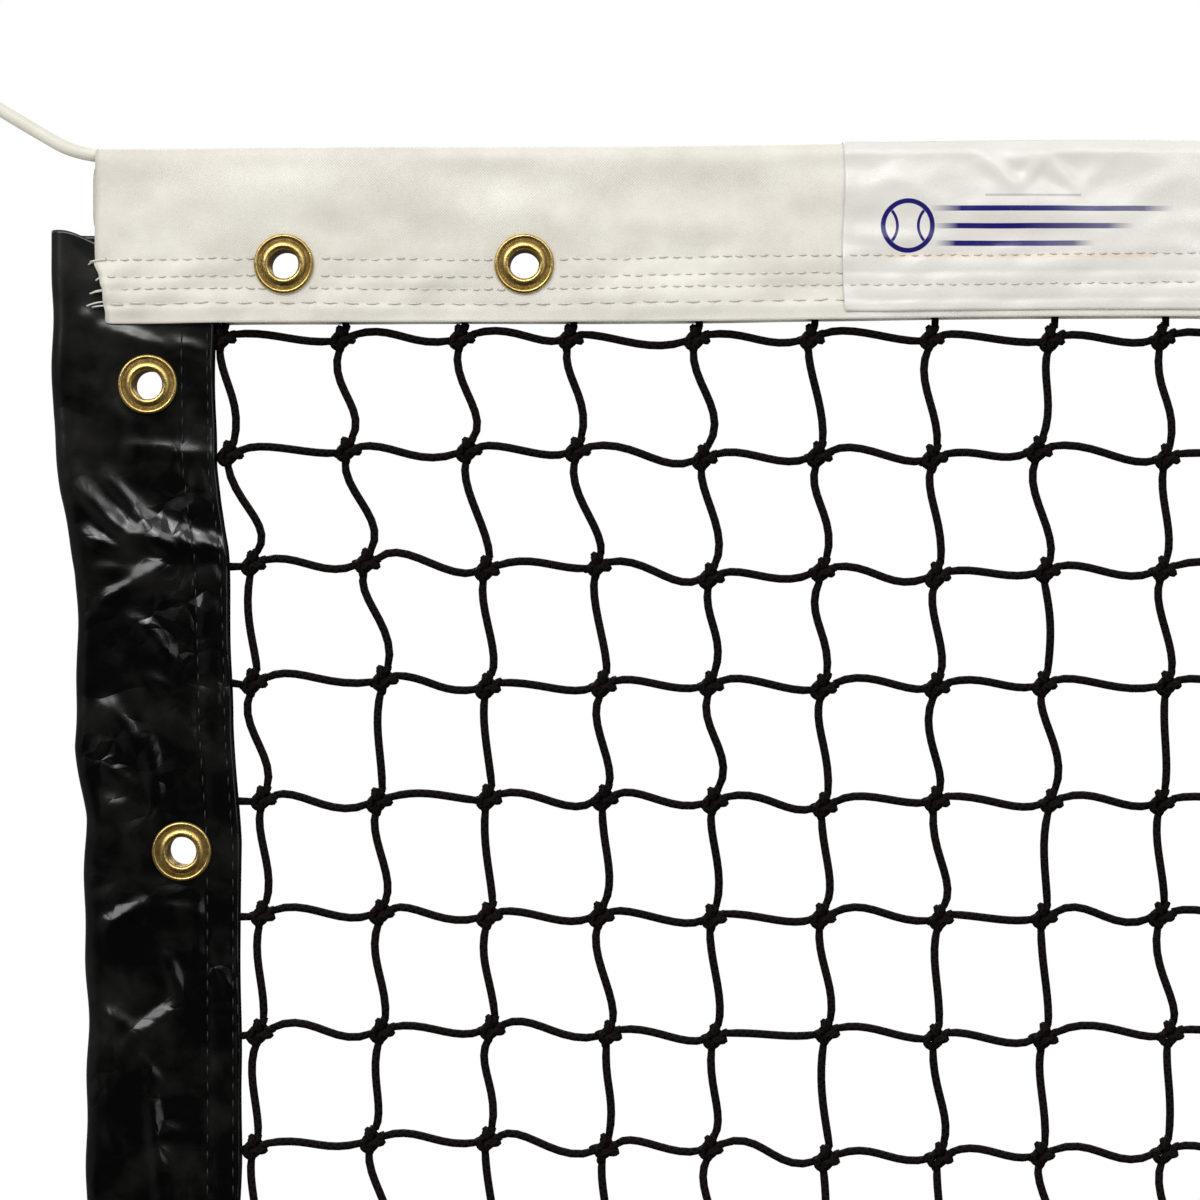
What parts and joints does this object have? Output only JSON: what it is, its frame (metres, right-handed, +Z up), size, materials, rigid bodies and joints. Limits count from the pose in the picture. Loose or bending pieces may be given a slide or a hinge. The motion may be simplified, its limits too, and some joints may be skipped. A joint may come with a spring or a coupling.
{
  "type": "tennis net",
  "caption": "Full-length tennis net: knotted black mesh, folded white headband on a coated cable, black side and bottom tapes with brass grommets.",
  "frame": {"origin": "headline cable's centre line at the middle of the net, from which the whole net hangs", "axes": "+X along the net, +Z up, +Y through the net, away from the side that carries the grommets' flanges and the label"},
  "size_m": [13.2104, 0.0146, 1.2274],
  "materials": {
    "headband_vinyl": "satin coated cloth",
    "label_vinyl": "gloss",
    "black_vinyl": "gloss",
    "netting_twine": "braided",
    "cable_coating": "satin",
    "ferrule_metal": "swaged",
    "grommet_brass": "polished"
  },
  "bodies": {
    "root": {"headband": "headband_vinyl", "label_patch": "label_vinyl", "bottom_tape": "black_vinyl", "mesh_rows": "netting_twine", "mesh_columns": "netting_twine", "headline_cable": "cable_coating", "side_tape_left": "black_vinyl", "headline_tail_left": "cable_coating", "cable_eye_left": "cable_coating", "ferrule_left": "ferrule_metal", "side_grommet_1_left": "grommet_brass", "side_washer_1_left": "grommet_brass", "side_grommet_2_left": "grommet_brass", "side_washer_2_left": "grommet_brass", "side_grommet_3_left": "grommet_brass", "side_washer_3_left": "grommet_brass", "side_grommet_4_left": "grommet_brass", "side_washer_4_left": "grommet_brass", "side_grommet_5_left": "grommet_brass", "side_washer_5_left": "grommet_brass", "side_grommet_6_left": "grommet_brass", "side_washer_6_left": "grommet_brass", "band_grommet_1_left": "grommet_brass", "band_washer_1_left": "grommet_brass", "band_grommet_2_left": "grommet_brass", "band_washer_2_left": "grommet_brass", "side_tape_right": "black_vinyl", "headline_tail_right": "cable_coating", "cable_eye_right": "cable_coating", "ferrule_right": "ferrule_metal", "side_grommet_1_right": "grommet_brass", "side_washer_1_right": "grommet_brass", "side_grommet_2_right": "grommet_brass", "side_washer_2_right": "grommet_brass", "side_grommet_3_right": "grommet_brass", "side_washer_3_right": "grommet_brass", "side_grommet_4_right": "grommet_brass", "side_washer_4_right": "grommet_brass", "side_grommet_5_right": "grommet_brass", "side_washer_5_right": "grommet_brass", "side_grommet_6_right": "grommet_brass", "side_washer_6_right": "grommet_brass", "band_grommet_1_right": "grommet_brass", "band_washer_1_right": "grommet_brass", "band_grommet_2_right": "grommet_brass", "band_washer_2_right": "grommet_brass"}
  },
  "joints": []
}
